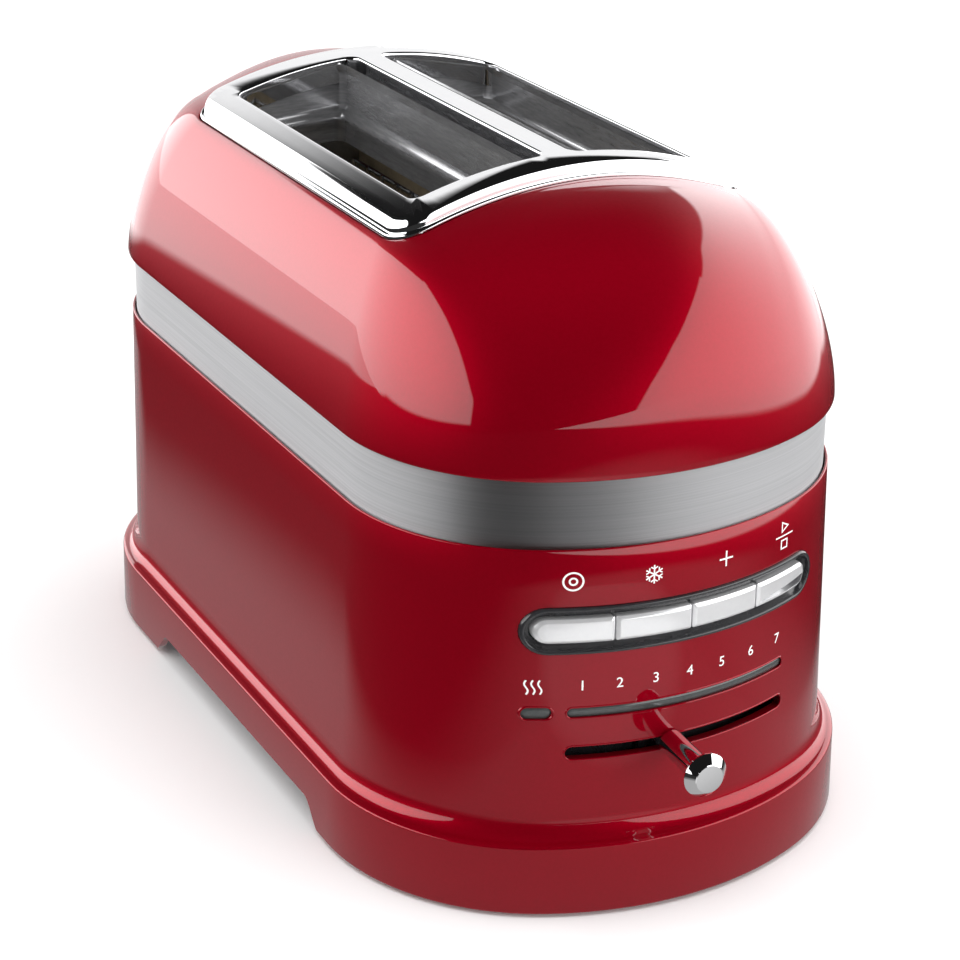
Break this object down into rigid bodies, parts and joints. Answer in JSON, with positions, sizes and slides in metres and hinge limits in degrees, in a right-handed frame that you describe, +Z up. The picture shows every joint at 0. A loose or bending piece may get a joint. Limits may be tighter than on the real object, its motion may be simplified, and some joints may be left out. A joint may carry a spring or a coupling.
{
  "type": "pop up toaster",
  "caption": "Long slot pop up toaster: cast body with a brushed band, domed shell, chrome slot frame, front keys, shade slider, motor lift and rear crumb tray.",
  "frame": {"origin": "on the ground under the middle of the whole object's box, slider knob included", "axes": "+Z up, -Y is the control front, +Y the rear, slots run along Y"},
  "size_m": [0.1854, 0.3592, 0.223],
  "materials": {
    "candy_red": "high gloss candy paint",
    "brushed_band": "brushed along the band",
    "bezel_chrome": "polished",
    "liner_steel": "polished, heat darkened",
    "cover_plate": "zinc plated sheet",
    "foot_rubber": "matt",
    "screw_steel": "plated",
    "chassis_steel": "zinc plated sheet",
    "mica_board": "pressed mica",
    "heater_ribbon": "oxidised resistance ribbon",
    "wire_chrome": "plated wire",
    "white_nylon": "moulded",
    "pinion_brass": "machined",
    "motor_can": "drawn can",
    "bezel_black": "gloss",
    "button_chrome": "satin chrome plate",
    "board_green": "solder mask",
    "lamp_amber": "clear cap",
    "smoked_lens": "smoked acrylic",
    "knob_chrome": "polished",
    "relay_blue": "moulded",
    "transformer_core": "varnished"
  },
  "bodies": {
    "body": {"lower_housing": "candy_red", "steel_band": "brushed_band", "upper_shell": "candy_red", "slot_bezel": "bezel_chrome", "slot_liner_left": "liner_steel", "slot_liner_right": "liner_steel", "bottom_cover": "cover_plate", "rubber_feet": "foot_rubber", "base_screws": "screw_steel", "chassis_pan": "chassis_steel", "chassis_screws": "screw_steel", "front_bulkhead": "chassis_steel", "rear_bulkhead": "chassis_steel", "heat_shield_left": "chassis_steel", "heat_shield_right": "chassis_steel", "heater_left": "mica_board", "heater_centre": "mica_board", "heater_right": "mica_board", "heater_ribbons": "heater_ribbon", "guide_rods": "screw_steel", "rod_bracket": "chassis_steel", "lift_motor": "motor_can", "motor_bracket": "chassis_steel", "button_bezel": "bezel_black", "board_bracket": "chassis_steel", "button_board": "board_green", "tact_switches": "bezel_black", "scale_lamps": "lamp_amber", "light_guide": "smoked_lens", "keep_warm_lens": "smoked_lens", "slider_track": "white_nylon", "control_board": "board_green", "relay": "relay_blue", "transformer": "transformer_core", "terminal_block": "white_nylon", "cord_gland": "foot_rubber", "tray_rails": "chassis_steel"},
    "bread_lift": {"carriage_plate": "wire_chrome", "bread_rack_left": "wire_chrome", "bread_rack_right": "wire_chrome", "lift_rack": "white_nylon"},
    "drive_shaft": {"drive_pinion": "white_nylon", "drive_gear": "white_nylon"},
    "motor_shaft": {"motor_pinion": "pinion_brass"},
    "left_outer_guard": {"guard_left_outer": "wire_chrome"},
    "left_inner_guard": {"guard_left_inner": "wire_chrome"},
    "right_inner_guard": {"guard_right_inner": "wire_chrome"},
    "right_outer_guard": {"guard_right_outer": "wire_chrome"},
    "bagel_key": {"bagel_button": "button_chrome"},
    "frozen_key": {"frozen_button": "button_chrome"},
    "longer_key": {"longer_button": "button_chrome"},
    "toast_key": {"toast_button": "button_chrome"},
    "shade_slider": {"slider_carrier": "white_nylon", "slider_shank": "knob_chrome", "slider_knob": "knob_chrome"},
    "tray": {"crumb_tray": "chassis_steel", "tray_front": "candy_red"}
  },
  "joints": [
    {"name": "lift", "type": "slide", "parent": "body", "child": "bread_lift", "axis": [0, 0, 1], "range_m": [-0.056, 0]},
    {"name": "drive_turn", "type": "hinge", "parent": "body", "child": "drive_shaft", "pos_m": [0.002, -0.09338, 0.112], "axis": [0, 1, 0], "range_deg": [-357, 0]},
    {"name": "motor_turn", "type": "hinge", "parent": "body", "child": "motor_shaft", "pos_m": [0.052, -0.10138, 0.112], "axis": [0, 1, 0], "range_deg": [0, 1430]},
    {"name": "left_outer_guard_tilt", "type": "hinge", "parent": "body", "child": "left_outer_guard", "pos_m": [-0.0535, 0.00962, 0.074], "axis": [0, 1, 0], "range_deg": [0, 6.05]},
    {"name": "left_inner_guard_tilt", "type": "hinge", "parent": "body", "child": "left_inner_guard", "pos_m": [-0.0085, 0.00962, 0.074], "axis": [0, 1, 0], "range_deg": [-6.05, 0]},
    {"name": "right_inner_guard_tilt", "type": "hinge", "parent": "body", "child": "right_inner_guard", "pos_m": [0.0085, 0.00962, 0.074], "axis": [0, 1, 0], "range_deg": [0, 6.05]},
    {"name": "right_outer_guard_tilt", "type": "hinge", "parent": "body", "child": "right_outer_guard", "pos_m": [0.0535, 0.00962, 0.074], "axis": [0, 1, 0], "range_deg": [-6.05, 0]},
    {"name": "bagel_push", "type": "slide", "parent": "body", "child": "bagel_key", "axis": [0, 1, 0], "range_m": [0, 0.001], "stiffness_N_per_m": 1500},
    {"name": "frozen_push", "type": "slide", "parent": "body", "child": "frozen_key", "axis": [0, 1, 0], "range_m": [0, 0.001], "stiffness_N_per_m": 1500},
    {"name": "longer_push", "type": "slide", "parent": "body", "child": "longer_key", "axis": [0, 1, 0], "range_m": [0, 0.001], "stiffness_N_per_m": 1500},
    {"name": "toast_push", "type": "slide", "parent": "body", "child": "toast_key", "axis": [0, 1, 0], "range_m": [0, 0.001], "stiffness_N_per_m": 1500},
    {"name": "shade_slide", "type": "hinge", "parent": "body", "child": "shade_slider", "pos_m": [0, -0.04608, 0.0558], "axis": [0, 0, 1], "range_deg": [-16, 23]},
    {"name": "tray_pull", "type": "slide", "parent": "body", "child": "tray", "axis": [0, 1, 0], "range_m": [0, 0.2]}
  ],
  "couplings": [
    {"joint": "drive_turn", "follows": "lift", "rad_per_m": 111.11},
    {"joint": "motor_turn", "follows": "lift", "rad_per_m": -444.44},
    {"joint": "left_outer_guard_tilt", "follows": "lift", "rad_per_m": -1.87},
    {"joint": "left_inner_guard_tilt", "follows": "lift", "rad_per_m": 1.87},
    {"joint": "right_inner_guard_tilt", "follows": "lift", "rad_per_m": -1.87},
    {"joint": "right_outer_guard_tilt", "follows": "lift", "rad_per_m": 1.87}
  ]
}
